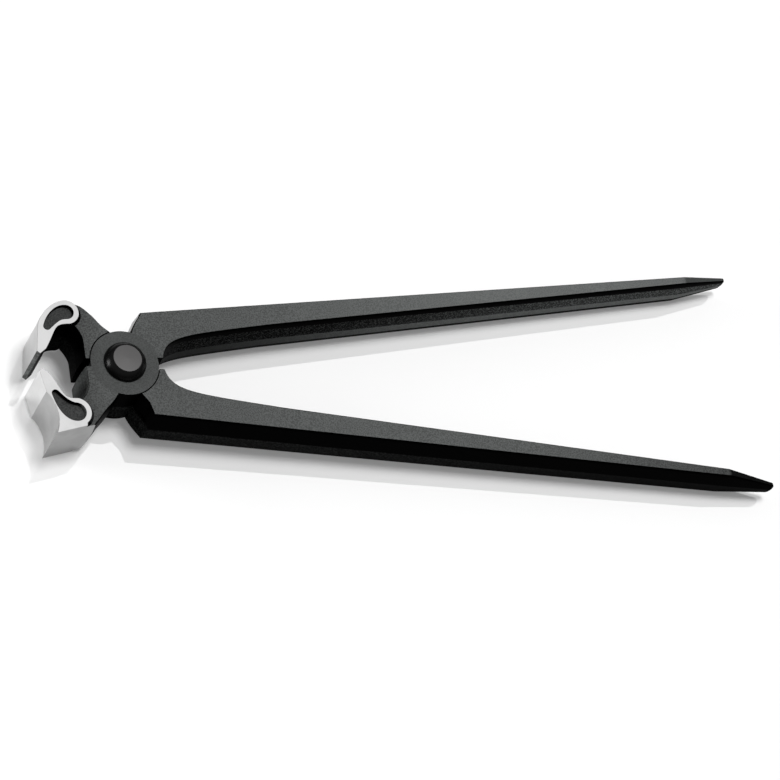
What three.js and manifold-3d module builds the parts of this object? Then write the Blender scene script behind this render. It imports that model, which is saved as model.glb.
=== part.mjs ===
// Farriers pincers: two forged steel levers, crossed in a lap joint on one rivet.
// Millimetres. The pivot axis is Z, the jaws point along -X and the handles along +X.
// The origin lies on the pivot axis, in the plane of the jaws' ground rear faces.
import * as THREE from 'three';
import { mergeVertices } from 'three/addons/utils/BufferGeometryUtils.js';
import Module from 'manifold-3d';

const wasm = await Module();
wasm.setup();

// Lap joint
const JOINT_THICKNESS = 20.1;
const HUB_RADIUS = 13;
const HUB_CLEARANCE = 0.3;
const LAP_GAP = 0.3;
const LIP_WIDTH = 1.6;
const STOP_GAP = 3.3;
const CROTCH_GAP = 4.6;

// Rivet
const SHANK_RADIUS = 5.5;
const HEAD_BASE_RADIUS = 8;
const HEAD_TOP_RADIUS = 5.4;
const HEAD_HEIGHT = 4;
const HEAD_SWELL = 0.7;
const TAIL_RADIUS = 7.5;
const RIVET_CLEARANCE = 0.2;

// Jaw heads, ground on all sides and proud of the joint's faces
const JAW_PROUD = 0.85;
const EDGE_REACH = 31.6;
const MOUTH_GAP = 5.9;
const LAND_LENGTH = 1.6;
const LAND_ANGLE = 39;
const BEVEL_LENGTH = 3;
const BEVEL_ANGLE = 40;
const RIM_WIDTH = 2;
const RECESS_DEPTH = 1.8;
const ROUND_END_FOOT = -78;
const THROAT_BEND = [[-25.7, 15.2], [-24.4, 12.9]];

// Round jaw: flat outer face, then a rounded back
const ROUND_JAW = {
  end: new THREE.Vector2(-20.1, 20),
  endRadius: 4.85,
  endStart: 100,
  faceEnd: new THREE.Vector2(-31.45, 14),
  backBend: [[-30.8, 18.5], [-25.5, 24]],
  recessTail: new THREE.Vector2(-27.9, 13.9),
  recessTailRadius: 1.35,
  recessOuterBend: [[-24.3, 22.9], [-28, 18.4]],
  recessInnerBend: [[-23.3, 16.4], [-22.6, 17]],
  neckBack: [[-18.5, 24.3], [-14.2, 23], [-10.1, 19.2], [-7.1, 15.4]],
};

// Hammer jaw: waisted outer face that flares to a square corner, then a flat back
const HAMMER_JAW = {
  end: new THREE.Vector2(-20.9, 20.4),
  endRadius: 5.6,
  endStart: 50,
  faceEnd: new THREE.Vector2(-31.25, 12.45),
  waistBend: [[-27, 24.8], [-26.9, 17.6]],
  corner: new THREE.Vector2(-29.1, 28.8),
  backEnd: new THREE.Vector2(-17.5, 25.9),
  recessTail: new THREE.Vector2(-27.85, 13.1),
  recessTailRadius: 1.4,
  recessOuterBend: [[-26.1, 23.8], [-28.3, 17.5]],
  recessInnerBend: [[-24.9, 14.3], [-23.6, 16]],
  neckBack: [[-16.6, 27.6], [-12.8, 23.4], [-9.5, 19.3], [-5.9, 15.5]],
};

// Bean-shaped recess in a jaw's side: where its wide and narrow ends begin and stop, in degrees
const RECESS_WIDE_ARC = [-92, 93];
const RECESS_TAIL_ARC = [167, 325];

// Neck between the joint and a jaw head
const THROAT_WALL = 9.3;
const THROAT_CORNER = new THREE.Vector2(-0.4, 2.8);
const THROAT_FOOT = -64;
const NECK_ROOT_ANGLE = 106;
const NECK_DRAFT = 0.5;

// Handle, measured on its forged flats from the X axis outwards
const SHOULDER_ROOT_ANGLE = 69;
const SHOULDER_BULGE = [[6.3, 14.3], [7.5, 16.1], [8.2, 18.4]];
const SHOULDER_CORNER = new THREE.Vector2(8.8, 20.7);
const SHOULDER_FILLET = new THREE.Vector2(5.3, 16.2);
const SHOULDER_FILLET_ANGLE = 72;
const CROTCH_BEND = [[17.1, 11.6], [24.5, 12]];
const CROTCH_END = new THREE.Vector2(60, 17.5);
const TAPER_START = 15;
const TIP_START = 244.3;
const TIP_SPREAD = 41.6;
const TIP_FLAT = 2.5;
const TIP_THICKNESS = 14;
const EDGE_BREAK = 0.5;
const DRAFT = 0.95;
const PARTING_BAND = 0.4;

// Faceted point at the end of the handle
const TIP_LENGTH = 22;
const TIP_SPLAY = 3.65;
const TIP_BLUNTNESS = 0.37;
const TIP_ROUND = 2;
const TIP_ROUND_TURN = 75;

// Facets
const ROUND_SIDES = 96;
const CURVE_STEPS = 16;
const TIP_STEPS = 3;
const OVERCUT = 5;

const halfJoint = JOINT_THICKNESS / 2;
const halfJaw = halfJoint + JAW_PROUD;
const recessRadius = HUB_RADIUS + HUB_CLEARANCE;
const lipRadius = recessRadius + LIP_WIDTH;

const forgedBlack = { color: 0x3b3d3c, roughness: 0.55, metalness: 0.6 };
const rivetBlack = { color: 0x302f30, roughness: 0.35, metalness: 0.7 };

// Closed geometries as solids, and back again

function solid(geometry) {
  geometry.deleteAttribute('normal');
  geometry.deleteAttribute('uv');
  const merged = mergeVertices(geometry, 1e-5);
  return new wasm.Manifold(new wasm.Mesh({
    numProp: 3,
    vertProperties: Float32Array.from(merged.attributes.position.array),
    triVerts: Uint32Array.from(merged.index.array),
  }));
}

function geometryOf(body) {
  const mesh = body.getMesh();
  const geometry = new THREE.BufferGeometry();
  geometry.setAttribute('position', new THREE.BufferAttribute(mesh.vertProperties, 3));
  geometry.setIndex(new THREE.BufferAttribute(mesh.triVerts, 1));
  geometry.computeVertexNormals();
  return geometry;
}

function plate(shape, low, high) {
  const options = { depth: high - low, bevelEnabled: false, curveSegments: CURVE_STEPS };
  return solid(new THREE.ExtrudeGeometry(shape, options).translate(0, 0, low));
}

function disc(radius, low, high) {
  const geometry = new THREE.CylinderGeometry(radius, radius, high - low, ROUND_SIDES);
  return solid(geometry.rotateX(Math.PI / 2).translate(0, 0, (low + high) / 2));
}

function block(low, high) {
  const depth = 2 * (halfJaw + OVERCUT);
  const geometry = new THREE.BoxGeometry(high.x - low.x, high.y - low.y, depth);
  return solid(geometry.translate((low.x + high.x) / 2, (low.y + high.y) / 2, 0));
}

// Outlines. A lever is drawn with its jaw on the +Y side, its handle on the -Y side
// and its own half of the lap joint on the -Z side of the mid plane.

function polar(radius, degrees, centre = new THREE.Vector2()) {
  const angle = THREE.MathUtils.degToRad(degrees);
  return new THREE.Vector2(radius * Math.cos(angle), radius * Math.sin(angle)).add(centre);
}

function points(pairs) {
  return pairs.map(([x, y]) => new THREE.Vector2(x, y));
}

function bend(path, controls, end) {
  path.bezierCurveTo(...controls.flat(), end.x, end.y);
}

function arc(path, centre, radius, from, to, clockwise) {
  const radians = [from, to].map(THREE.MathUtils.degToRad);
  path.absarc(centre.x, centre.y, radius, ...radians, clockwise);
}

const cuttingEdge = new THREE.Vector2(-EDGE_REACH, MOUTH_GAP / 2);
const landCorner = polar(LAND_LENGTH, 180 - LAND_ANGLE, cuttingEdge);
const bevelEnd = polar(BEVEL_LENGTH, BEVEL_ANGLE, cuttingEdge);

// The jaw's back, from the end of its flat outer face to the round end of the head.
function backOutline(shape, jaw) {
  if (jaw.corner) {
    bend(shape, jaw.waistBend, jaw.corner);
    shape.lineTo(jaw.backEnd.x, jaw.backEnd.y);
  } else {
    bend(shape, jaw.backBend, polar(jaw.endRadius, jaw.endStart, jaw.end));
  }
}

function headShape(jaw) {
  const shape = new THREE.Shape();
  shape.moveTo(cuttingEdge.x, cuttingEdge.y);
  shape.lineTo(landCorner.x, landCorner.y);
  shape.lineTo(jaw.faceEnd.x, jaw.faceEnd.y);
  backOutline(shape, jaw);
  arc(shape, jaw.end, jaw.endRadius, jaw.endStart, ROUND_END_FOOT, true);
  bend(shape, THROAT_BEND, bevelEnd);
  shape.closePath();
  return shape;
}

// The recess leaves a rim of even width round the jaw's round end.
function recessShape(jaw) {
  const shape = new THREE.Shape();
  const radius = jaw.endRadius - RIM_WIDTH;
  const wideFoot = polar(radius, RECESS_WIDE_ARC[0], jaw.end);
  const tailOuter = polar(jaw.recessTailRadius, RECESS_TAIL_ARC[0], jaw.recessTail);
  shape.moveTo(wideFoot.x, wideFoot.y);
  arc(shape, jaw.end, radius, ...RECESS_WIDE_ARC, false);
  bend(shape, jaw.recessOuterBend, tailOuter);
  arc(shape, jaw.recessTail, jaw.recessTailRadius, ...RECESS_TAIL_ARC, false);
  bend(shape, jaw.recessInnerBend, wideFoot);
  return shape;
}

function neckShape(jaw) {
  const shape = new THREE.Shape();
  const throatFoot = polar(jaw.endRadius, THROAT_FOOT, jaw.end);
  const corner = new THREE.Vector2(-lipRadius, THROAT_WALL).add(THROAT_CORNER);
  const root = polar(HUB_RADIUS - HUB_CLEARANCE, NECK_ROOT_ANGLE);
  shape.moveTo(root.x, 0);
  shape.lineTo(root.x, root.y);
  shape.splineThru(points(jaw.neckBack).reverse());
  shape.lineTo(jaw.end.x, jaw.end.y);
  shape.lineTo(throatFoot.x, throatFoot.y);
  shape.quadraticCurveTo(corner.x, corner.y, -lipRadius, THROAT_WALL);
  shape.lineTo(-lipRadius, 0);
  shape.closePath();
  return shape;
}

// A forged neck swells to its parting line at mid thickness.
function neck(jaw) {
  const geometry = new THREE.ExtrudeGeometry(neckShape(jaw), {
    depth: PARTING_BAND,
    bevelThickness: halfJoint - PARTING_BAND / 2,
    bevelSize: NECK_DRAFT,
    bevelSegments: 1,
    curveSegments: CURVE_STEPS,
  });
  const stop = block(new THREE.Vector2(-2 * lipRadius, -OVERCUT), new THREE.Vector2(OVERCUT, STOP_GAP / 2));
  return solid(geometry.translate(0, 0, -PARTING_BAND / 2)).subtract(stop);
}

function recesses(jaw) {
  const shape = recessShape(jaw);
  const front = plate(shape, halfJaw - RECESS_DEPTH, halfJaw + OVERCUT);
  return front.add(plate(shape, -halfJaw - OVERCUT, RECESS_DEPTH - halfJaw));
}

// The hammer's flat back is ground straight across the head and the neck behind it.
function groundOff(jaw) {
  const along = jaw.backEnd.clone().sub(jaw.corner).setLength(OVERCUT);
  const outward = new THREE.Vector2(-along.y, along.x);
  const start = jaw.corner.clone().sub(along);
  const stop = jaw.backEnd.clone().add(along);
  const shape = new THREE.Shape([start, stop, stop.clone().add(outward), start.clone().add(outward)]);
  return plate(shape, -halfJaw - OVERCUT, halfJaw + OVERCUT);
}

function jawAndNeck(jaw) {
  const body = neck(jaw).add(plate(headShape(jaw), -halfJaw, halfJaw)).subtract(recesses(jaw));
  return jaw.corner ? body.subtract(groundOff(jaw)) : body;
}

// Handle. Its flats are bounded by an outer and an inner edge, given here by their distance
// from the X axis, and every cross section is worked out from those two edges.

const crotchStart = new THREE.Vector2(lipRadius, CROTCH_GAP / 2);
const crotch = new THREE.CubicBezierCurve(crotchStart, ...points(CROTCH_BEND), CROTCH_END);
const shoulder = new THREE.SplineCurve([
  polar(HUB_RADIUS - HUB_CLEARANCE, SHOULDER_ROOT_ANGLE),
  ...points(SHOULDER_BULGE),
  SHOULDER_CORNER,
]);
const outerTip = new THREE.Vector2(TIP_START, TIP_SPREAD + TIP_FLAT);
const innerTip = new THREE.Vector2(TIP_START, TIP_SPREAD);
const outerEdge = [...shoulder.getPoints(CURVE_STEPS), outerTip];
const innerEdge = [...crotch.getPoints(CURVE_STEPS), innerTip];

function distanceAt(edge, x) {
  const next = Math.max(1, edge.findIndex((point) => point.x >= x));
  const [from, to] = [edge[next - 1], edge[next]];
  return THREE.MathUtils.mapLinear(x, from.x, to.x, from.y, to.y);
}

function halfThicknessAt(x) {
  const run = Math.max(0, x - TAPER_START) / (TIP_START - TAPER_START);
  return THREE.MathUtils.lerp(halfJoint, TIP_THICKNESS / 2, run);
}

// Twelve-sided section: flats, broken edges and drafted sides that meet at the parting band.
function section(x, centre, halfFlat, halfThickness, scale) {
  const side = [
    [halfFlat, halfThickness],
    [halfFlat + EDGE_BREAK, halfThickness - EDGE_BREAK],
    [halfFlat + EDGE_BREAK + DRAFT, PARTING_BAND / 2],
  ];
  const half = [...side, ...side.map(([out, up]) => [out, -up]).reverse()];
  const ring = [...half, ...half.map(([out, up]) => [-out, up]).reverse()];
  return ring.map(([out, up]) => new THREE.Vector3(x, -(centre + scale * out), scale * up));
}

function handleSection(x) {
  const outer = distanceAt(outerEdge, x);
  const inner = x < crotchStart.x ? crotchStart.y : distanceAt(innerEdge, x);
  return section(x, (outer + inner) / 2, (outer - inner) / 2, halfThicknessAt(x), 1);
}

// The faceted point tapers in a straight line and ends in a small round.
function tipSections() {
  const sections = [];
  for (let step = 0; step <= TIP_STEPS; step += 1) {
    const turn = THREE.MathUtils.degToRad(TIP_ROUND_TURN * step / TIP_STEPS);
    const run = TIP_LENGTH - TIP_ROUND * (1 - Math.sin(turn));
    const centre = TIP_SPREAD + TIP_FLAT / 2 + TIP_SPLAY * run / TIP_LENGTH;
    const scale = TIP_BLUNTNESS * Math.cos(turn);
    sections.push(section(TIP_START + run, centre, TIP_FLAT / 2, TIP_THICKNESS / 2, scale));
  }
  return sections;
}

function loft(rings) {
  const sides = rings[0].length;
  const vertices = rings.flat();
  const index = [];
  for (let ring = 0; ring + 1 < rings.length; ring += 1) {
    for (let side = 0; side < sides; side += 1) {
      const here = ring * sides + side;
      const beside = ring * sides + (side + 1) % sides;
      index.push(here, beside, here + sides, beside, beside + sides, here + sides);
    }
  }
  const last = vertices.length - sides;
  for (let side = 1; side + 1 < sides; side += 1) {
    index.push(0, side + 1, side, last, last + side, last + side + 1);
  }
  const geometry = new THREE.BufferGeometry().setFromPoints(vertices);
  geometry.setIndex(index);
  return geometry;
}

function handle() {
  const stations = [...outerEdge, ...innerEdge].map((point) => point.x);
  stations.push(TAPER_START);
  const xs = [...new Set(stations)].sort((a, b) => a - b);
  const rings = [...xs.map(handleSection), ...tipSections()];
  const gap = block(new THREE.Vector2(-OVERCUT, -CROTCH_GAP / 2), new THREE.Vector2(2 * lipRadius, OVERCUT));
  return solid(loft(rings)).subtract(gap);
}

// Own half of the lap joint: a round hub with a fillet to the handle's shoulder.
function hub() {
  const fillet = new THREE.Shape();
  const start = polar(HUB_RADIUS, SHOULDER_FILLET_ANGLE);
  fillet.moveTo(0, -HUB_RADIUS / 2);
  fillet.lineTo(start.x, -start.y);
  fillet.quadraticCurveTo(SHOULDER_FILLET.x, -SHOULDER_FILLET.y, SHOULDER_CORNER.x, -SHOULDER_CORNER.y);
  fillet.lineTo(SHOULDER_CORNER.x + EDGE_BREAK, -HUB_RADIUS / 2);
  fillet.closePath();
  const low = -halfJoint;
  const high = -LAP_GAP / 2;
  return disc(HUB_RADIUS, low, high).add(plate(fillet, low, high));
}

function lever(jaw) {
  const recess = disc(recessRadius, -LAP_GAP / 2, halfJaw + OVERCUT);
  const bore = disc(SHANK_RADIUS + RIVET_CLEARANCE, -halfJaw - OVERCUT, halfJaw + OVERCUT);
  return jawAndNeck(jaw).add(handle()).subtract(recess).add(hub()).subtract(bore);
}

// Rivet: raised front head with a flat top, and a low tail flush with the jaws' rear faces.
function rivet() {
  const seat = halfJoint + RIVET_CLEARANCE;
  const top = halfJoint + HEAD_HEIGHT;
  const profile = new THREE.Path();
  profile.moveTo(0, -halfJaw);
  profile.lineTo(TAIL_RADIUS, -halfJaw);
  profile.lineTo(TAIL_RADIUS, -seat);
  profile.lineTo(SHANK_RADIUS, -seat);
  profile.lineTo(SHANK_RADIUS, seat);
  profile.lineTo(HEAD_BASE_RADIUS, seat);
  profile.quadraticCurveTo(
    (HEAD_BASE_RADIUS + HEAD_TOP_RADIUS) / 2 + HEAD_SWELL, (seat + top) / 2 + HEAD_SWELL, HEAD_TOP_RADIUS, top,
  );
  profile.lineTo(0, top);
  const geometry = new THREE.LatheGeometry(profile.getPoints(CURVE_STEPS / 2), ROUND_SIDES);
  return solid(geometry.rotateX(Math.PI / 2));
}

function piece(name, body, finish) {
  const mesh = new THREE.Mesh(geometryOf(body), new THREE.MeshStandardMaterial(finish));
  mesh.name = name;
  return mesh;
}

const pincers = new THREE.Group();
pincers.position.z = halfJaw;

const frontLever = piece('front_lever', lever(HAMMER_JAW), forgedBlack);
frontLever.rotation.x = Math.PI;
pincers.add(frontLever);
pincers.add(piece('rear_lever', lever(ROUND_JAW), forgedBlack));
pincers.add(piece('pivot_rivet', rivet(), rivetBlack));

export default pincers;
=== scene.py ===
"""Farriers pincers: two forged levers, black from the forge with bright ground jaws, on one rivet."""

import math

import bmesh
import bpy
import numpy as np
from mathutils import Matrix, Vector


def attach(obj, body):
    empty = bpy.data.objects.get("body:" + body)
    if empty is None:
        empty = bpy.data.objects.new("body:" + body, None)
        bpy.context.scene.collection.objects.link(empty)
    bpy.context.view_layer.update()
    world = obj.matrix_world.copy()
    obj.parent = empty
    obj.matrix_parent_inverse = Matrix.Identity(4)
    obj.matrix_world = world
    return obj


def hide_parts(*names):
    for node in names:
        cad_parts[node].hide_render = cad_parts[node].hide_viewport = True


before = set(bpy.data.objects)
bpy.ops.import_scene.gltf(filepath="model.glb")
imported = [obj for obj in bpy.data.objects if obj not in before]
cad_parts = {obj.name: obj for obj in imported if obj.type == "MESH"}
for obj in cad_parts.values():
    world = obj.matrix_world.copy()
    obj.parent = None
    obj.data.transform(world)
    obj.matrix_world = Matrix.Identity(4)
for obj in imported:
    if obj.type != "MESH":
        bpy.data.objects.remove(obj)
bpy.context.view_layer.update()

# Sizes are in millimetres and angles in degrees. A lever is drawn with its jaw on the +Y side,
# its handle on the -Y side and its own half of the lap joint below the mid plane.
MM = 0.001

# Joint
HALF_JOINT = 10.05
HUB_RADIUS = 13.0
HUB_CLEARANCE = 0.3
HUB_CHAMFER = 0.06
LAP_GAP = 0.3
LIP_WIDTH = 1.6
LIP_RADIUS = HUB_RADIUS + HUB_CLEARANCE + LIP_WIDTH
SEAT_CHAMFER = 0.08
SEAT_FLARE = 3.0
STOP_GAP = 3.3
CROTCH_GAP = 4.6
BORE_RADIUS = 5.7
WEB_ANGLE = 72
WEB_BEND = (5.3, 16.2)
WEB_END = 9.3
WEB_CHAMFER = 0.3

# Jaws
HALF_JAW = 10.9
HEAD_CHAMFER = 0.08
HEAD_FOOT_ANGLE = -78
CUTTING_EDGE = (-31.6, 2.95)
LAND = (1.6, 141)
BEVEL = (3.0, 40)
THROAT_BEND = ((-25.7, 15.2), (-24.4, 12.9))
RIM_WIDTH = 2.0
RECESS_DEPTH = 1.8
RECESS_END_ARC = (-92, 93)
RECESS_TAIL_ARC = (167, 325)
RECESS_FOOT = ((0.0, 0.5), (0.12, 0.2), (0.45, 0.0))
RECESS_BRIM = ((-0.1, 0.0), (0.9, -1.0))

# Necks
NECK_ROOT_ANGLE = 106
NECK_FOOT_ANGLE = -64
NECK_DRAFT = 0.5
NECK_ROLL = 0.5
THROAT_WALL = 9.3
THROAT_CORNER = (-0.4, 2.8)
FOOT_WIDTH = 0.6
FOOT_DEPTH = 0.9
FOOT_SHIFT = (0.3, 0.5)

# Handles
EDGE_ROLL = 0.35
EDGE_BEND = ((0.1, 0.0), (0.35, -0.25))
EDGE_OUT = 0.5
EDGE_DROP = 1.5
DRAFT = 0.95
PARTING_BAND = 0.4
TAPER_START = 15.0
TIP_START = 244.3
TIP_LENGTH = 22.0
TIP_SPREAD = 41.6
TIP_FLAT = 2.7
TIP_HALF_THICKNESS = 7.6
TIP_SPLAY = 3.4
TIP_BLUNTNESS = 0.44
TIP_ROUND = 2.0
TIP_NOSE = 1.9
NOSE_TURN = 86
NOSE_RINGS = 9
HANDLE_STATIONS = (66, 238, 30)
SHOULDER_ANGLE = 69
SHOULDER = ((6.3, 14.3), (7.5, 16.1), (8.2, 18.4), (8.8, 20.7))
CROTCH_BEND = ((17.1, 11.6), (24.5, 12.0))
CROTCH_END = (60.0, 17.5)

# Cutters reach past what they cut: well past it, a little, or just past a flat that they only touch.
SPARE = 5.0
LITTLE_SPARE = 1.0
SKIM = 0.01
CUT_LENGTH = 30.0
CUTTER_SIDES = 96

# Fineness of the meshes
TURNED_SIDES = 160
WALL_LEVELS = 7
SHARPEST_CORNER = 0.25
WELD = 1e-7
SMOOTH_ANGLE = 25

# Finishes of a lever's faces, in the order of its material slots
FORGED, BRIGHT, SATIN_PART_SHADED, SHADED_GRIND, EDGE_LAND, RECESS = range(6)

ROUND_JAW = {
    "foot_side": -1,
    "end": (-20.1, 20.0),
    "end_radius": 4.85,
    "end_start": 100,
    "face_end": (-31.45, 14.0),
    # The round jaw's outer face and waist take the satin steel, whose darker base is partly painted shade
    "face_finish": SATIN_PART_SHADED,
    "back_finish": SATIN_PART_SHADED,
    "back_bend": ((-30.8, 18.5), (-25.5, 24.0)),
    "corner": None,
    "recess_tail": (-27.9, 13.9),
    "recess_tail_radius": 1.35,
    "recess_outer": ((-24.3, 22.9), (-28.0, 18.4)),
    "recess_inner": ((-23.3, 16.4), (-22.6, 17.0)),
    "neck_back": ((-18.5, 24.3), (-14.2, 23.0), (-10.1, 19.2), (-7.1, 15.4)),
}
HAMMER_JAW = {
    "foot_side": 1,
    "end": (-20.9, 20.4),
    "end_radius": 5.6,
    "end_start": 50,
    "face_end": (-31.25, 12.45),
    "face_finish": BRIGHT,
    # The hammer's waist takes the satin steel, whose darker base is partly painted shade
    "back_finish": SATIN_PART_SHADED,
    "back_bend": ((-26.9, 17.6), (-27.0, 24.8)),
    "corner": (-29.1, 28.8),
    "back_end": (-17.5, 25.9),
    "recess_tail": (-27.85, 13.1),
    "recess_tail_radius": 1.4,
    "recess_outer": ((-26.1, 23.8), (-28.3, 17.5)),
    "recess_inner": ((-24.9, 14.3), (-23.6, 16.0)),
    "neck_back": ((-16.6, 27.6), (-12.8, 23.4), (-9.5, 19.3), (-5.9, 15.5)),
}

# Rivet: its sizes, the fineness of its mesh and the curve of its head
RIVET_SIZES = {
    "Length": 24.95, "Tail radius": 7.5, "Tail height": 0.65, "Shank radius": 5.5,
    "Seat height": 21.15, "Head radius": 8.0, "Top radius": 5.4, "Top rise": 0.12,
}
RIVET_STATIONS = 220
RIVET_SIDES = 128
CROWN_FALL = 1.9
CROWN_FULLNESS = 0.85
TOP_CLOSING = 0.995

# Where a lever's finish changes, in metres: along the tool, from the pivot axis, or across its middle
# and parting lines
MILLED_RIM = (0.0128, 0.0136)
JOINT_SHADE = (0.02, 0.09)
NECK_RUN = (0.006, 0.02)
THROAT_RUN = (-0.021, -0.019)
CROTCH_RUN = (0.016, 0.024)
SHOULDER_RUN = (0.004, 0.006)
SHOULDER_RISE = (0.0135, 0.0145)
# The next two runs: painted light towards the front tip and painted shade towards the rear tip, on the
# flats
TIP_LIGHT_RUN = (0.05, 0.17)
TIP_SHADE_RUN = (0.15, 0.26)
# The next two runs: painted light on the inner walls, growing paler towards the tip
UPPER_LIT_RUN = (0.06, 0.22)
LOWER_LIT_RUN = (0.02, 0.14)
# Run over which the painted light on the scale's lower band fades towards the tip
UNDERSIDE_SHEEN_RUN = (0.06, 0.24)
TIP_BLUR = 0.8
TIP_RUN = ((TIP_START - TIP_BLUR) * MM, (TIP_START + TIP_BLUR) * MM)
MIDDLE_LINE = (-0.001, 0.001)
PARTING_LINE = (-0.0003, 0.0003)

# The same in metres below a handle's flat side, and by how far a face leans that way
SHOULDER_DEPTH = (0.0024, 0.003)
# From this depth down the inner walls take their painted light
LIT_WALL_DEPTH = (0.0027, 0.0033)
FLAT_DEPTH = (0.003, 0.004)
FLAT_LEAN = (0.88, 0.97)
RIVET_TOP_LEAN = (0.97, 0.99)
JAWWARD_LEAN = (0.4, 0.7)
INWARD_LEAN = (0.3, 0.6)

# Grain of the finishes, in metres, and the band of its noise that shows
BLAST_GRAIN, BLAST_BAND = 0.00048, (0.36, 0.62)
CLOUD_GRAIN, CLOUD_BAND = 0.007, (0.35, 0.7)
# The third band picks the specks of painted light on the black scale's lower band
PIT_GRAIN, PIT_BAND, UNDERSIDE_SHEEN_BAND = 0.0006, (0.45, 0.63), (0.42, 0.66)
STROKE_GRAIN, STROKE_STRETCH = 0.00016, (1.0, 1.0, 26.0)
POLISH_GRAIN, POLISH_BAND = 0.006, (0.3, 0.7)
LAND_GRAIN, LAND_BAND = 0.001, (0.4, 0.65)
RIVET_GRAIN = 0.0006

# Tones of the flats' painted light and painted shade, as shares of their own dark and light
TIP_LIGHT_TONES = (0.94, 1.34)
SHADE_TONES = (0.2, 1.15)

# Greys and colours: a lit wall's pairs are painted light and go from the joint to the tip, other pairs
# from dark to light
UPPER_LIT_GREYS = (0.042, 0.13)
LOWER_LIT_GREYS = (0.058, 0.255)
LIT_PIT_GREYS = (0.0004, 0.035)
THROAT_LIT_GREY = 0.1
THROAT_LIT_PIT_GREY = 0.055
# Black scale, up to the painted light of its specks below the parting line
SCALE_AND_SHEEN_GREYS = (0.0002, 0.02)
# Greys of the cutting edge's land, kept dark as painted shade
LAND_GREYS = (0.025, 0.12)
# Uncoated steel of the painted reflection on the front shoulder wall
SHOULDER_SHEEN_STEEL = (0.3, 0.3, 0.3, 1.0)
RIVET_BLACK = (0.001, 0.001, 0.001, 1.0)
PRESSED_DARK = (0.056, 0.054, 0.054)
PRESSED_LIGHT = (0.064, 0.062, 0.062)

# Camera, in millimetres and degrees, with its focal length in pixels of the picture
CAMERA_AZIMUTH = -43.691
CAMERA_ELEVATION = 55.363
CAMERA_ROLL = -38.863
CAMERA_TARGET = (103.415, -9.795, 20.95)
CAMERA_DISTANCE = 1052.82
FOCAL_PIXELS = 2785.84
PICTURE_PIXELS = 780
SENSOR_WIDTH = 36
CLIP_START = 0.01

# Studio: colours, shares and strengths, and the floor's reach in metres
WHITE = (1.0, 1.0, 1.0, 1.0)
BOARD_WHITE = (0.9, 0.9, 0.9, 1.0)
FLOOR_REACH = 4.0
FLOOR_GLOSS = 0.22
FLOOR_BLUR = 0.015
FLOOR_GLOW = 0.14
ROOM_LIGHT = 0.25
ROOM_SEEN = 0.85
HORIZON_BAND = (0.1, 0.6)
HORIZON_DROP = 0.1
ZENITH_RISE = 0.87


# Node trees

class Signal:
    """A value in a node tree, which takes part in sums like a number."""

    def __init__(self, tree, socket):
        self.tree = tree
        self.socket = socket

    def math(self, operation, *others):
        return self.tree.math(operation, self, *others)

    def __add__(self, other):
        return self.math("ADD", other)

    def __sub__(self, other):
        return self.math("SUBTRACT", other)

    def __rsub__(self, other):
        return self.tree.math("SUBTRACT", other, self)

    def __mul__(self, other):
        return self.math("MULTIPLY", other)

    def __truediv__(self, other):
        return self.math("DIVIDE", other)

    def __pow__(self, other):
        return self.math("POWER", other)

    def __neg__(self):
        return 0.0 - self

    def __abs__(self):
        return self.math("ABSOLUTE")

    __radd__ = __add__
    __rmul__ = __mul__

    def at_least(self, low):
        return self.math("MAXIMUM", low)

    def at_most(self, high):
        return self.math("MINIMUM", high)

    def above(self, limit):
        return self.math("GREATER_THAN", limit)

    def ramp(self, low, high):
        """0 below low, 1 above high, and a smooth step between them."""
        return self.tree.node(
            "ShaderNodeMapRange",
            {"interpolation_type": "SMOOTHSTEP", "clamp": True},
            {"Value": self, "From Min": low, "From Max": high},
        )


class NodeTree:
    """A tree whose nodes are all added by one method."""

    def __init__(self, tree):
        self.tree = tree

    def node(self, kind, settings=None, inputs=None, output=0):
        node = self.tree.nodes.new(kind)
        for key, value in (settings or {}).items():
            setattr(node, key, value)
        for key, value in (inputs or {}).items():
            socket = node.inputs[key]
            if isinstance(value, Signal):
                self.tree.links.new(value.socket, socket)
            else:
                socket.default_value = value
        return Signal(self, node.outputs[output]) if node.outputs else node

    def math(self, operation, *values):
        return self.node("ShaderNodeMath", {"operation": operation}, dict(enumerate(values)))

    def part(self, axis, vector):
        """One coordinate of a vector."""
        return self.node("ShaderNodeSeparateXYZ", inputs={"Vector": vector}, output=axis)


def opaque(colour):
    return (*colour, 1.0) if isinstance(colour, tuple) else colour


def grey(level):
    """The faintly green grey of the oxide."""
    return (level, level * 1.055, level * 1.035)


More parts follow.
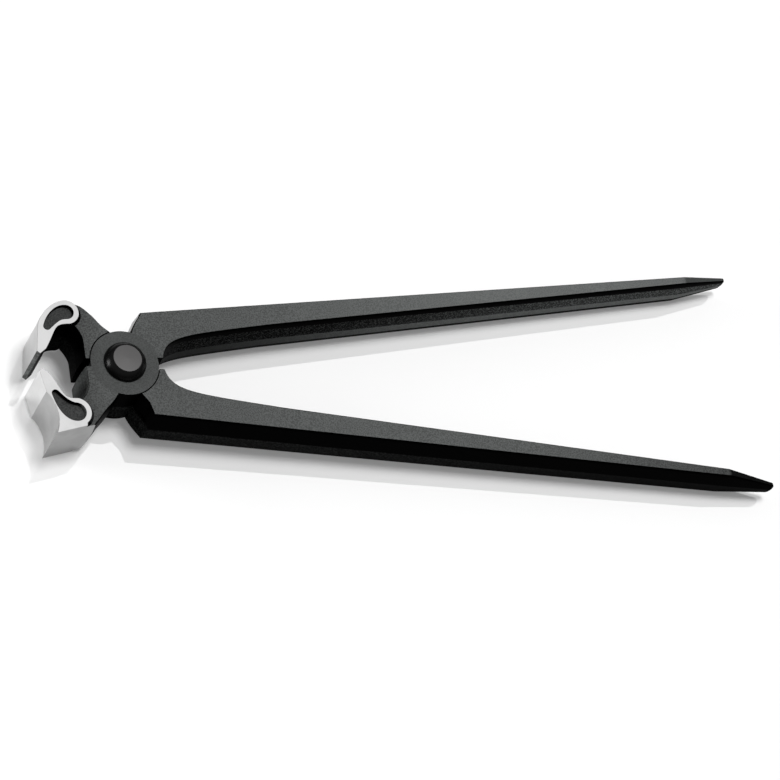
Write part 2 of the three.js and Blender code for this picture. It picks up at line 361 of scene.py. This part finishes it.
class Finish(NodeTree):
    """The node tree of a material or of the world."""

    def __init__(self, owner):
        owner.use_nodes = True
        super().__init__(owner.node_tree)
        self.owner = owner
        self.tree.nodes.clear()

    @classmethod
    def new(cls, name):
        return cls(bpy.data.materials.new(name))

    def place(self):
        return self.node("ShaderNodeTexCoord", output="Object")

    def along(self, axis):
        """A coordinate of the place on the tool."""
        return self.part(axis, self.place())

    def from_pivot(self):
        """Distance from the pivot axis."""
        x, y = self.along("X"), self.along("Y")
        return (x * x + y * y) ** 0.5

    def facing(self, axis):
        """A coordinate of the face's normal, in the tool's own frame."""
        turned_back = self.node(
            "ShaderNodeVectorTransform",
            {"vector_type": "NORMAL", "convert_from": "WORLD", "convert_to": "OBJECT"},
            {"Vector": self.node("ShaderNodeNewGeometry", output="Normal")},
        )
        return self.part(axis, turned_back)

    def upward(self):
        """How far a face leans towards the tool's flat sides: 1 on the flats, 0 on the walls."""
        return abs(self.facing("Z"))

    def below_flat(self):
        """Depth of a place on a handle below its sloping flat side, in the tip's own scale."""
        height = self.along("Z") - HALF_JAW * MM
        run, tip_run = self.along("X") - TAPER_START * MM, self.along("X") - TIP_START * MM
        slope = (TIP_HALF_THICKNESS - HALF_JOINT) / (TIP_START - TAPER_START)
        shrinking = (1 - TIP_BLUNTNESS) / ((TIP_LENGTH - TIP_ROUND) * MM)
        half = HALF_JOINT * MM + slope * run.at_least(0.0)
        return half - abs(height) / (1 - shrinking * tip_run.at_least(0.0))

    def inward(self):
        """1 on a handle's wall that faces the other handle."""
        outward = self.facing("Y") * self.along("Y").math("SIGN")
        return (-outward).ramp(*INWARD_LEAN) * self.along("X").ramp(*CROTCH_RUN)

    def ray(self, kind):
        return self.node("ShaderNodeLightPath", output=f"Is {kind} Ray")

    def grain(self, size, detail=2.0, stretch=(1.0, 1.0, 1.0)):
        """Noise of about one grain per size, in metres, drawn out along an axis by stretch."""
        spread = self.node(
            "ShaderNodeMapping", {"vector_type": "TEXTURE"}, {"Vector": self.place(), "Scale": stretch}
        )
        return self.node(
            "ShaderNodeTexNoise", inputs={"Vector": spread, "Scale": 1 / size, "Detail": detail}
        )

    def blend(self, factor, first, second):
        return self.node(
            "ShaderNodeMix",
            {"data_type": "RGBA"},
            {"Factor": factor, "A": opaque(first), "B": opaque(second)},
            output="Result",
        )

    def greys(self, factor, first, second):
        return self.blend(factor, grey(first), grey(second))

    def bump(self, height, strength, distance):
        return self.node(
            "ShaderNodeBump", inputs={"Strength": strength, "Distance": distance, "Height": height}
        )

    def coat(self, inputs):
        return self.node("ShaderNodeBsdfPrincipled", inputs=inputs)

    def layer(self, mask, under, over):
        return self.node("ShaderNodeMixShader", inputs={0: mask, 1: under, 2: over})

    def output(self, shader):
        self.node("ShaderNodeOutputMaterial", inputs={"Surface": shader})
        return self.owner


# Finishes

def forged_black(name, dark, light):
    """Black oxide on a forging: blasted grey flats with painted light and shade along them, inner walls
    painted as if lit, a sliver of uncoated steel for a painted reflection on the front shoulder, and
    black scale elsewhere, with painted light on its lower band."""
    finish = Finish.new(name)
    along, side, radius = finish.along("X"), finish.along("Y"), finish.from_pivot()
    depth = finish.below_flat()
    fine = finish.grain(BLAST_GRAIN)
    pits = finish.grain(PIT_GRAIN, detail=3.0)
    cloud = finish.grain(CLOUD_GRAIN, detail=3.0).ramp(*CLOUD_BAND)
    front = side.ramp(*MIDDLE_LINE)
    lower = (HALF_JAW * MM - finish.along("Z")).ramp(*PARTING_LINE)
    jawward = (-finish.facing("X")).ramp(*JAWWARD_LEAN)
    neck = (-along).ramp(*NECK_RUN)
    # The front neck's wall facing the throat, which takes painted light
    throat = neck * jawward * (1 - front) * along.ramp(*THROAT_RUN)
    milled = 1 - radius.ramp(*MILLED_RIM)
    calm = 1 - milled * 0.5

    # The front handle's flat is painted paler towards its tip, a painted light, and the rear one's darker
    # there, a painted shade; both get painted shade round the joint and along the neck, and the milled
    # hub has less speckle.
    speckle = (fine.ramp(*BLAST_BAND) * 0.95 + cloud * 0.1) * calm + milled * 0.02
    painted_tip_light = along.ramp(*TIP_LIGHT_RUN) * front * 0.9
    painted_shade = along.ramp(*TIP_SHADE_RUN) * (1 - front) + neck * 0.7
    painted_shade = painted_shade + (1 - radius.ramp(*JOINT_SHADE)) * 0.28
    skin = finish.greys(speckle, dark, light)
    skin = finish.blend(painted_tip_light, skin, finish.greys(speckle, *(light * tone for tone in TIP_LIGHT_TONES)))
    skin = finish.blend(painted_shade, skin, finish.greys(speckle, *(dark * tone for tone in SHADE_TONES)))
    blasted = finish.coat({
        "Base Color": skin,
        "Roughness": 0.56 + fine * 0.1,
        "Specular IOR Level": 0.2,
        "Normal": finish.bump(fine * calm, 0.3, 0.00007),
    })

    # The walls have pits above the parting line and are smooth below it. The inner walls facing the other
    # handle and the front neck's wall in the throat take a painted lit copy: painted light, paler towards
    # the tip and below the parting line.
    lit_pale = finish.blend(
        lower,
        finish.greys(along.ramp(*UPPER_LIT_RUN), *UPPER_LIT_GREYS),
        finish.greys(along.ramp(*LOWER_LIT_RUN), *LOWER_LIT_GREYS),
    )
    lit_pale = finish.blend(throat, lit_pale, grey(THROAT_LIT_GREY))
    lit_pits = finish.greys(along.ramp(*UPPER_LIT_RUN), *LIT_PIT_GREYS)
    lit_pits = finish.blend(throat, lit_pits, grey(THROAT_LIT_PIT_GREY))
    lit_share = pits.ramp(*PIT_BAND) * (1 - lower * 0.8) + lower * 0.38
    # Paler specks on the lower band of the black scale, fading towards the tip: painted light from the
    # floor
    underside_sheen = pits.ramp(*UNDERSIDE_SHEEN_BAND) * lower * (1 - along.ramp(*UNDERSIDE_SHEEN_RUN) * 0.85)

    def wall(colour):
        return finish.coat({
            "Base Color": colour,
            "Roughness": 0.3 + pits * 0.1,
            "Specular IOR Level": 0.002,
            "Normal": finish.bump(pits, 0.25, 0.0001),
        })

    lit_wall = wall(finish.blend(lit_share, lit_pits, lit_pale))
    scale = wall(finish.greys(underside_sheen, *SCALE_AND_SHEEN_GREYS))
    # A patch of uncoated steel, only on the front shoulder wall, stands in for the bright reflection
    # there: a painted reflection
    shoulder_sheen_steel = finish.coat({"Base Color": SHOULDER_SHEEN_STEEL, "Metallic": 1.0, "Roughness": 0.34 + pits * 0.12})

    # Where the painted light goes: the inner walls and the front neck's wall in the throat
    inner = finish.inward() * depth.ramp(*LIT_WALL_DEPTH) + throat
    # Where the painted reflection goes: the front shoulder wall
    shoulder = jawward * front * along.ramp(*SHOULDER_RUN)
    shoulder = shoulder * side.ramp(*SHOULDER_RISE) * depth.ramp(*SHOULDER_DEPTH)
    bevel = along.ramp(*TIP_RUN) * (0.9 - front * 0.35)
    flat = finish.upward().ramp(*FLAT_LEAN) * (1 - bevel) * (1 - depth.ramp(*FLAT_DEPTH))
    walls = finish.layer(shoulder, finish.layer(inner, scale, lit_wall), shoulder_sheen_steel)
    return finish.output(finish.layer(flat, walls, blasted))


def ground_steel(name, dark, light, rough):
    """Bare steel from the grinding wheel, with fine lines along the stroke."""
    finish = Finish.new(name)
    stroke = finish.grain(STROKE_GRAIN, stretch=STROKE_STRETCH)
    cloud = finish.grain(POLISH_GRAIN).ramp(*POLISH_BAND)
    return finish.output(finish.coat({
        "Base Color": finish.blend(cloud, (dark,) * 3, (light,) * 3),
        "Metallic": 1.0,
        "Roughness": rough + stroke * 0.04,
        "Normal": finish.bump(stroke, 0.08, 0.00004),
    }))


def shaded_land():
    """The narrow striking land of the cutting edge, rough and speckled, painted dark: painted shade."""
    finish = Finish.new("shaded_land")
    fine = finish.grain(LAND_GRAIN, detail=3.0)
    return finish.output(finish.coat({
        "Base Color": finish.greys(fine.ramp(*LAND_BAND), *LAND_GREYS),
        "Metallic": 0.2,
        "Roughness": 0.55,
        "Normal": finish.bump(fine, 0.4, 0.0001),
    }))


def rivet_black():
    """Turned rivet: glossy black cone and a satin grey top that took the press."""
    finish = Finish.new("rivet_black")
    fine = finish.grain(RIVET_GRAIN)
    pressed = finish.coat({
        "Base Color": finish.blend(fine, PRESSED_DARK, PRESSED_LIGHT),
        "Roughness": 0.42 + fine * 0.06,
        "Specular IOR Level": 0.3,
    })
    cone = finish.coat({
        "Base Color": RIVET_BLACK,
        "Roughness": 0.26 + fine * 0.03,
        "Specular IOR Level": 0.08,
    })
    return finish.output(finish.layer(finish.upward().ramp(*RIVET_TOP_LEAN), cone, pressed))


# Outlines

def polar(radius, degrees, centre=(0.0, 0.0)):
    angle = math.radians(degrees)
    return (centre[0] + radius * math.cos(angle), centre[1] + radius * math.sin(angle))


def bend(start, first, second, end, steps=20):
    """Points of a cubic curve after its start."""
    t = np.linspace(0, 1, steps + 1)[1:, None]
    curve = [np.array(point) for point in (start, first, second, end)]
    weights = ((1 - t) ** 3, 3 * t * (1 - t) ** 2, 3 * t ** 2 * (1 - t), t ** 3)
    return [tuple(point) for point in sum(w * p for w, p in zip(weights, curve))]


def fillet(start, corner, end, steps):
    """Points of a bend that rounds the corner between start and end, after its start."""
    start, corner, end = (np.array(point) for point in (start, corner, end))
    return bend(start, start + (corner - start) * 2 / 3, end + (corner - end) * 2 / 3, end, steps)


def arc(centre, radius, start, stop, steps):
    return [polar(radius, angle, centre) for angle in np.linspace(start, stop, steps + 1)[1:]]


def through(points, steps=6):
    """Smooth line through the points, which it keeps."""
    padded = [points[0], *points, points[-1]]
    line = [points[0]]
    for before, start, end, after in zip(padded, padded[1:], padded[2:], padded[3:]):
        first = tuple(s + (e - b) / 6 for s, e, b in zip(start, end, before))
        second = tuple(e - (a - s) / 6 for e, a, s in zip(end, after, start))
        line += bend(start, first, second, end, steps)
    return line


def head_outline(jaw):
    """The jaw head's outline and the finish of the wall that starts at each of its points."""
    points = [CUTTING_EDGE, polar(*LAND, CUTTING_EDGE), jaw["face_end"]]
    walls = [EDGE_LAND, jaw["face_finish"]]
    round_start = polar(jaw["end_radius"], jaw["end_start"], jaw["end"])
    points += bend(jaw["face_end"], *jaw["back_bend"], jaw["corner"] or round_start)
    if jaw["corner"]:
        points += [jaw["back_end"], round_start]
    walls += [jaw["back_finish"]] * (len(points) - len(walls) - 1)
    # The hammer's back end takes the darker copy of the satin steel, which is painted shade
    if jaw["corner"]:
        walls[-2:] = [SHADED_GRIND, SHADED_GRIND]
    foot = polar(jaw["end_radius"], HEAD_FOOT_ANGLE, jaw["end"])
    points += arc(jaw["end"], jaw["end_radius"], jaw["end_start"], HEAD_FOOT_ANGLE, steps=30)
    points += bend(foot, *THROAT_BEND, polar(*BEVEL, CUTTING_EDGE))
    walls += [FORGED] * (len(points) - len(walls))
    return points, walls


def recess_outline(jaw):
    radius = jaw["end_radius"] - RIM_WIDTH
    foot = polar(radius, RECESS_END_ARC[0], jaw["end"])
    tail = polar(jaw["recess_tail_radius"], RECESS_TAIL_ARC[0], jaw["recess_tail"])
    points = [foot, *arc(jaw["end"], radius, *RECESS_END_ARC, steps=24)]
    points += bend(points[-1], *jaw["recess_outer"], tail, steps=24)
    points += arc(jaw["recess_tail"], jaw["recess_tail_radius"], *RECESS_TAIL_ARC, steps=16)
    points += bend(points[-1], *jaw["recess_inner"], foot, steps=24)[:-1]
    return points


def neck_outline(jaw):
    root = polar(HUB_RADIUS - HUB_CLEARANCE, NECK_ROOT_ANGLE)
    foot = polar(jaw["end_radius"], NECK_FOOT_ANGLE, jaw["end"])
    wall = (-LIP_RADIUS, THROAT_WALL)
    corner = np.array(wall) + THROAT_CORNER
    back = through([root, *reversed(jaw["neck_back"])])
    throat = [foot, *fillet(foot, corner, wall, steps=14)]
    return [(root[0], 0.0), *back, jaw["end"], *throat, (-LIP_RADIUS, 0.0)]


# Meshes

def inset(points, width):
    """The closed outline moved inwards by width, with square corners kept."""
    outline = np.array(points)
    ahead = np.roll(outline, -1, axis=0) - outline
    ahead /= np.linalg.norm(ahead, axis=1)[:, None]
    outward = np.column_stack((ahead[:, 1], -ahead[:, 0]))
    before = np.roll(outward, 1, axis=0)
    share = np.maximum(1 + (outward * before).sum(axis=1), SHARPEST_CORNER)
    return outline - width * (outward + before) / share[:, None]


def put(name, data):
    """A new object in the scene, at the origin."""
    piece = bpy.data.objects.new(name, data)
    bpy.context.scene.collection.objects.link(piece)
    return piece


def skin_rings(name, rings, finishes=None):
    """A closed lever mesh over rings of points, with a cap on the first and the last one."""
    count, tops = len(rings[0]), len(rings) - 1
    faces = [tuple(range(count))[::-1]]
    for low in range(0, tops * count, count):
        for here in range(count):
            beside = (here + 1) % count
            faces.append((low + here, low + beside, low + beside + count, low + here + count))
    faces.append(tuple(range(tops * count, (tops + 1) * count)))
    mesh = bpy.data.meshes.new(name)
    mesh.from_pydata([tuple(point) for ring in rings for point in ring], [], faces)
    for finish in LEVER_FINISHES:
        mesh.materials.append(finish)
    if finishes:
        mesh.polygons.foreach_set("material_index", finishes)
    mesh.update()
    return put(name, mesh)


def stack(name, points, levels, walls=None, cap=FORGED, chamfers=()):
    """A solid from one outline, inset by its own width at each height. Chamfers take the cap's finish."""
    walls = walls or [cap] * len(points)
    area = sum(a[0] * b[1] - a[1] * b[0] for a, b in zip(points, points[1:] + points[:1]))
    if area < 0:
        points = points[::-1]
        walls = walls[::-1][1:] + walls[-1:]
    rings = [np.column_stack((inset(points, width), np.full(len(points), z))) for z, width in levels]
    sides = [cap if level in chamfers else wall for level in range(len(levels) - 1) for wall in walls]
    return skin_rings(name, rings, [cap, *sides, cap])


def turned(name, profile, sides=TURNED_SIDES, centre=(0.0, 0.0)):
    """A solid turned about an upright axis from heights and radii."""
    angles = np.linspace(0, 2 * math.pi, sides, endpoint=False)
    circle = np.column_stack((np.cos(angles), np.sin(angles)))
    rings = [np.column_stack((centre + radius * circle, np.full(sides, z))) for z, radius in profile]
    return skin_rings(name, rings)


def prism(name, outline, cap=FORGED):
    """A cutter with upright walls, through the whole thickness of the tool."""
    return stack(name, outline, [(-HALF_JAW - SPARE, 0.0), (HALF_JAW + SPARE, 0.0)], cap=cap)


def block(name, low, high):
    return prism(name, [(low[0], low[1]), (high[0], low[1]), (high[0], high[1]), (low[0], high[1])])


def mirrored(levels):
    """The same heights below the mid plane, from the lowest up."""
    return [(-z, width) for z, width in reversed(levels)]


def rolled_levels(half, radius, draft, steps=4):
    """Heights and insets of a wall that swells to mid height and has rounded edges, from below."""
    def swell(z):
        return draft * (1 - (z / half) ** 2)

    lower = []
    for turn in np.linspace(0, math.pi / 2, steps + 1):
        z = -half + radius * (1 - math.cos(turn))
        lower.append((z, radius * (1 - math.sin(turn)) - swell(z)))
    lower += [(z, -swell(z)) for z in np.linspace(-half + radius, 0, WALL_LEVELS)[1:]]
    return lower + mirrored(lower[:-1])


def settle(piece):
    """What the piece's modifiers make becomes its own mesh."""
    shape = bpy.data.meshes.new_from_object(piece.evaluated_get(bpy.context.evaluated_depsgraph_get()))
    piece.modifiers.clear()
    piece.data = shape


def combine(piece, tool, operation):
    modifier = piece.modifiers.new(operation, "BOOLEAN")
    modifier.operation = operation
    modifier.solver = "MANIFOLD"
    modifier.object = tool
    settle(piece)
    bpy.data.objects.remove(tool)


def join(piece, other):
    combine(piece, other, "UNION")


def cut(piece, other):
    combine(piece, other, "DIFFERENCE")


def smooth(piece):
    """Rounded edges shade smoothly and flat faces stay flat."""
    shape = bmesh.new()
    shape.from_mesh(piece.data)
    bmesh.ops.remove_doubles(shape, verts=shape.verts, dist=WELD)
    bmesh.ops.dissolve_degenerate(shape, edges=shape.edges, dist=WELD)
    limit = math.radians(SMOOTH_ANGLE)
    for edge in shape.edges:
        edge.smooth = len(edge.link_faces) == 2 and edge.calc_face_angle(0.0) < limit
    for face in shape.faces:
        face.smooth = True
    shape.to_mesh(piece.data)
    shape.free()
    modifier = piece.modifiers.new("even", "WEIGHTED_NORMAL")
    modifier.keep_sharp = True
    settle(piece)


# Handle

SHOULDER_LINE = through([polar(HUB_RADIUS - HUB_CLEARANCE, SHOULDER_ANGLE), *SHOULDER])
CROTCH_START = (LIP_RADIUS, CROTCH_GAP / 2)
CROTCH_LINE = [CROTCH_START, *bend(CROTCH_START, *CROTCH_BEND, CROTCH_END, steps=28)]
OUTER_EDGE = SHOULDER_LINE + [(TIP_START, TIP_SPREAD + TIP_FLAT)]
INNER_EDGE = CROTCH_LINE + [(TIP_START, TIP_SPREAD)]


def edge_at(edge, x):
    return np.interp(x, [point[0] for point in edge], [point[1] for point in edge])


def handle_section(x, inner, outer, half, scale=1.0):
    """Section with rolled edges and drafted sides that meet in the parting band."""
    half_flat = (outer - inner) / 2
    start = (half_flat - EDGE_ROLL, half)
    turn = [(half_flat + out, half + up) for out, up in EDGE_BEND]
    roll = bend(start, *turn, (half_flat + EDGE_OUT, half - EDGE_DROP), steps=7)
    swell = half_flat + EDGE_OUT + DRAFT * half / HALF_JOINT
    quarter = [start, *roll, (swell, PARTING_BAND / 2)]
    side = quarter + [(out, -up) for out, up in reversed(quarter)]
    ring = side + [(-out, up) for out, up in reversed(side)]
    centre = (inner + outer) / 2
    return [(x, -(centre + scale * out), scale * up) for out, up in ring]


def handle():
    """The bar from the joint to the tip, and the tip down to its rounded nose."""
    stations = {point[0] for point in OUTER_EDGE + INNER_EDGE} | set(np.linspace(*HANDLE_STATIONS))
    rings = []
    for x in sorted(stations):
        run = max(0.0, x - TAPER_START) / (TIP_START - TAPER_START)
        half = HALF_JOINT + (TIP_HALF_THICKNESS - HALF_JOINT) * run
        rings.append(handle_section(x, edge_at(INNER_EDGE, x), edge_at(OUTER_EDGE, x), half))
    half_flat = TIP_FLAT / 2
    for turn in np.linspace(0, math.radians(NOSE_TURN), NOSE_RINGS):
        run = TIP_LENGTH - TIP_ROUND + TIP_NOSE * math.sin(turn)
        centre = TIP_SPREAD + half_flat + TIP_SPLAY * run / TIP_LENGTH
        size = TIP_BLUNTNESS * math.cos(turn)
        edges = (centre - half_flat, centre + half_flat)
        rings.append(handle_section(TIP_START + run, *edges, TIP_HALF_THICKNESS, size))
    return skin_rings("handle", rings)


# Lever

def neck(jaw):
    piece = stack("neck", neck_outline(jaw), rolled_levels(HALF_JOINT, NECK_ROLL, NECK_DRAFT))
    cut(piece, block("stop", (-CUT_LENGTH, -SPARE), (SPARE, STOP_GAP / 2)))
    return piece


def hollow_foot(piece, jaw):
    """A hollow in both faces of the neck, at the foot of the head's round end."""
    centre = (jaw["end"][0] + FOOT_SHIFT[0], jaw["end"][1] + jaw["foot_side"] * FOOT_SHIFT[1])
    rim = jaw["end_radius"] + FOOT_WIDTH
    slope = [
        (HALF_JOINT - FOOT_DEPTH, rim - 2 * FOOT_WIDTH),
        (HALF_JOINT + SKIM, rim),
        (HALF_JOINT + LITTLE_SPARE, rim),
    ]
    cut(piece, turned("front_foot", slope, CUTTER_SIDES, centre))
    cut(piece, turned("rear_foot", mirrored(slope), CUTTER_SIDES, centre))


def head(jaw):
    outline, walls = head_outline(jaw)
    upper = [(HALF_JAW - HEAD_CHAMFER, 0.0), (HALF_JAW, HEAD_CHAMFER)]
    return stack("head", outline, mirrored(upper) + upper, walls, BRIGHT, chamfers=(0, 2))


def sink_recesses(piece, jaw):
    """The bean-shaped recesses in both sides of a jaw, with a rounded foot."""
    floor = HALF_JAW - RECESS_DEPTH
    sink = [(floor + rise, width) for rise, width in RECESS_FOOT]
    sink += [(HALF_JAW + rise, width) for rise, width in RECESS_BRIM]
    bean = recess_outline(jaw)
    cut(piece, stack("front_recess", bean, sink, cap=RECESS))
    cut(piece, stack("rear_recess", bean, mirrored(sink), cap=RECESS))


def grind_back(piece, jaw):
    """The hammer's flat back is ground straight across the head and the neck behind it."""
    corner, back_end = np.array(jaw["corner"]), np.array(jaw["back_end"])
    along = SPARE * (back_end - corner) / np.linalg.norm(back_end - corner)
    outward = np.array((-along[1], along[0]))
    outline = [corner - along, back_end + along, back_end + along + outward, corner - along + outward]
    # The ground back takes the darker copy of the satin steel: painted shade
    cut(piece, prism("wheel", [tuple(point) for point in outline], cap=SHADED_GRIND))


def hub():
    """The lever's round half of the lap, with a web to the shoulder of its handle."""
    start, corner = polar(HUB_RADIUS, WEB_ANGLE), SHOULDER[-1]
    middle = HUB_RADIUS / 2
    line = [(0.0, middle), start, *fillet(start, WEB_BEND, corner, steps=12), (WEB_END, middle)]
    web = stack("web", [(x, -y) for x, y in line], [
        (-HALF_JOINT, WEB_CHAMFER),
        (-HALF_JOINT + WEB_CHAMFER, 0.0),
        (-LAP_GAP / 2, 0.0),
    ])
    piece = turned("hub", [
        (-HALF_JOINT, HUB_RADIUS - HUB_CHAMFER),
        (-HALF_JOINT + HUB_CHAMFER, HUB_RADIUS),
        (-LAP_GAP / 2, HUB_RADIUS),
    ])
    join(piece, web)
    return piece


def lever(name, jaw, turn_over):
    grip = handle()
    cut(grip, block("crotch", (-SPARE, -CROTCH_GAP / 2), (CUT_LENGTH, SPARE)))
    piece = neck(jaw)
    hollow_foot(piece, jaw)
    join(piece, head(jaw))
    sink_recesses(piece, jaw)
    if jaw["corner"]:
        grind_back(piece, jaw)
    join(piece, grip)
    seat = HUB_RADIUS + HUB_CLEARANCE
    cut(piece, turned("seat", [
        (-LAP_GAP / 2, seat),
        (HALF_JOINT - SEAT_CHAMFER, seat),
        (HALF_JOINT + SEAT_FLARE, seat + SEAT_FLARE + SEAT_CHAMFER),
    ]))
    join(piece, hub())
    depth = HALF_JAW + SPARE
    cut(piece, turned("bore", [(-depth, BORE_RADIUS), (depth, BORE_RADIUS)], CUTTER_SIDES))
    piece.name = piece.data.name = name
    place = Matrix.Translation((0, 0, HALF_JAW * MM)) @ Matrix.Scale(MM, 4)
    if turn_over:
        place = place @ Matrix.Rotation(math.pi, 4, "X")
    piece.data.transform(place)
    smooth(piece)
    return piece


# Rivet, turned by a node tree: its radius follows from the height along the axis.

def rivet_tree(finish):
    group = bpy.data.node_groups.new("rivet_turning", "GeometryNodeTree")
    group.interface.new_socket("Geometry", in_out="OUTPUT", socket_type="NodeSocketGeometry")
    for name, size in RIVET_SIZES.items():
        socket = group.interface.new_socket(name, in_out="INPUT", socket_type="NodeSocketFloat")
        socket.default_value = size * MM
    tree = NodeTree(group)
    sizes = {name: tree.node("NodeGroupInput", output=name) for name in RIVET_SIZES}
    top = tree.node("ShaderNodeCombineXYZ", inputs={"Z": sizes["Length"]})
    axis = tree.node("GeometryNodeCurvePrimitiveLine", inputs={"Start": (0, 0, 0), "End": top})
    axis = tree.node("GeometryNodeResampleCurve", inputs={"Curve": axis, "Count": RIVET_STATIONS})

    height = tree.part("Z", tree.node("GeometryNodeInputPosition"))
    past_tail, past_seat = height.above(sizes["Tail height"]), height.above(sizes["Seat height"])
    brow = sizes["Length"] - sizes["Top rise"]
    rise = (height - sizes["Seat height"]) / (brow - sizes["Seat height"])
    rise = rise.at_least(0.0).at_most(1.0)
    flare = (sizes["Head radius"] - sizes["Top radius"]) * (1 - rise ** CROWN_FALL) ** CROWN_FULLNESS
    past_brow = ((height - brow) / sizes["Top rise"]).at_least(0.0)
    crown = (sizes["Top radius"] + flare) * (1 - past_brow * TOP_CLOSING)
    radius = sizes["Tail radius"] * (1 - past_tail)
    radius = radius + sizes["Shank radius"] * past_tail * (1 - past_seat) + crown * past_seat

    axis = tree.node("GeometryNodeSetCurveRadius", inputs={"Curve": axis, "Radius": radius})
    circle = tree.node(
        "GeometryNodeCurvePrimitiveCircle", inputs={"Resolution": RIVET_SIDES, "Radius": 1.0}
    )
    skin = tree.node(
        "GeometryNodeCurveToMesh",
        inputs={"Curve": axis, "Profile Curve": circle, "Scale": radius, "Fill Caps": True},
    )
    solid = tree.node("GeometryNodeRealizeInstances", inputs={"Geometry": skin})
    dressed = tree.node("GeometryNodeSetMaterial", inputs={"Geometry": solid, "Material": finish})
    tree.node("NodeGroupOutput", inputs={"Geometry": dressed})
    return group


def rivet(finish):
    piece = put("pivot_rivet_turned", bpy.data.meshes.new("pivot_rivet_blank"))
    modifier = piece.modifiers.new("turning", "NODES")
    modifier.node_group = rivet_tree(finish)
    for socket in modifier.node_group.interface.items_tree:
        if socket.in_out == "INPUT":
            modifier[socket.identifier] = RIVET_SIZES[socket.name] * MM
    settle(piece)
    smooth(piece)
    return piece


# Studio

def studio_floor():
    """White board with a polished skin, on which the tool lies on its rivet's tail and its two tips."""
    finish = Finish.new("studio_white")
    board = finish.node("ShaderNodeBsdfDiffuse", inputs={"Color": BOARD_WHITE})
    mirror = finish.node("ShaderNodeBsdfGlossy", inputs={"Color": WHITE, "Roughness": FLOOR_BLUR})
    in_view = finish.ray("Camera").at_least(finish.ray("Glossy"))
    glow = finish.node("ShaderNodeEmission", inputs={"Strength": in_view * FLOOR_GLOW})
    skin = finish.layer(FLOOR_GLOSS, board, mirror)
    finish.output(finish.node("ShaderNodeAddShader", inputs={0: skin, 1: glow}))
    corners = [(x * FLOOR_REACH, y * FLOOR_REACH) for x, y in ((-1, -1), (1, -1), (1, 1), (-1, 1))]
    foot, tip = RIVET_SIZES["Tail radius"] * MM, TIP_START * MM
    slope = (HALF_JAW - TIP_HALF_THICKNESS) * MM / (tip - foot)
    mesh = bpy.data.meshes.new("floor")
    mesh.from_pydata([(x, y, (x - foot) * slope) for x, y in corners], [], [(0, 1, 2, 3)])
    mesh.materials.append(finish.owner)
    floor = put("floor", mesh)


def studio_world():
    """White room: what is mirrored darkens towards the horizon, and what lights surfaces is dimmer."""
    world = bpy.data.worlds.new("studio")
    bpy.context.scene.world = world
    finish = Finish(world)
    height = finish.part("Z", finish.node("ShaderNodeTexCoord", output="Generated"))
    shade = height.ramp(*HORIZON_BAND) * ZENITH_RISE - HORIZON_DROP
    strength = ROOM_LIGHT + finish.ray("Camera") * ROOM_SEEN + finish.ray("Glossy") * shade
    sky = finish.node("ShaderNodeBackground", inputs={"Color": WHITE, "Strength": strength})
    finish.node("ShaderNodeOutputWorld", inputs={"Surface": sky})


def softbox(name, place, target, width, height, watts):
    lamp = bpy.data.lights.new(name, "AREA")
    lamp.shape = "RECTANGLE"
    lamp.size = width
    lamp.size_y = height
    lamp.energy = watts
    holder = put(name, lamp)
    holder.location = place
    holder.rotation_euler = (Vector(target) - Vector(place)).to_track_quat("-Z", "Y").to_euler()


def photo_camera():
    azimuth, elevation = math.radians(CAMERA_AZIMUTH), math.radians(CAMERA_ELEVATION)
    roll = math.radians(CAMERA_ROLL)
    back = Vector((
        math.sin(azimuth) * math.cos(elevation),
        -math.cos(azimuth) * math.cos(elevation),
        math.sin(elevation),
    ))
    level = (-back).cross(Vector((0, 0, 1))).normalized()
    down = (-back).cross(level)
    right = math.cos(roll) * level + math.sin(roll) * down
    up = math.sin(roll) * level - math.cos(roll) * down
    lens = bpy.data.cameras.new("camera")
    lens.sensor_width = SENSOR_WIDTH
    lens.lens = FOCAL_PIXELS / PICTURE_PIXELS * SENSOR_WIDTH
    lens.clip_start = CLIP_START
    camera = put("camera", lens)
    place = Vector(CAMERA_TARGET) * MM + back * CAMERA_DISTANCE * MM
    turn = Matrix((right, up, back)).transposed().to_4x4()
    camera.matrix_world = Matrix.Translation(place) @ turn
    bpy.context.scene.camera = camera


photo_camera()
LEVER_FINISHES = (
    forged_black("forged_black", dark=0.046, light=0.1),
    ground_steel("ground_bright", dark=0.64, light=0.69, rough=0.06),
    # Rougher ground steel for the jaws' walls and the round jaw's outer face; its darker base is partly
    # painted shade
    ground_steel("ground_satin_part_shaded", dark=0.39, light=0.44, rough=0.28),
    # A darker copy of the satin steel, with the same roughness, for the hammer's back: painted shade
    ground_steel("ground_shaded_grind", dark=0.23, light=0.27, rough=0.28),
    shaded_land(),
    forged_black("recess_black", dark=0.032, light=0.044),
)

front = lever("front_lever_forging", HAMMER_JAW, turn_over=True)
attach(front, "front")
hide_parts("front_lever")

rear = lever("rear_lever_forging", ROUND_JAW, turn_over=False)
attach(rear, "rear")
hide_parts("rear_lever")

pin = rivet(rivet_black())
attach(pin, "front")
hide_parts("pivot_rivet")

studio_floor()
studio_world()
softbox("key", place=(0.58, 0.42, 2.6), target=(0.1, 0.0, 0.0), width=0.7, height=0.66, watts=47.5)
softbox("left", place=(-1.0, 0.2, 0.15), target=(0.0, 0.0, 0.02), width=0.32, height=0.3, watts=8.0)

scene = bpy.context.scene
scene.view_settings.view_transform = "Standard"
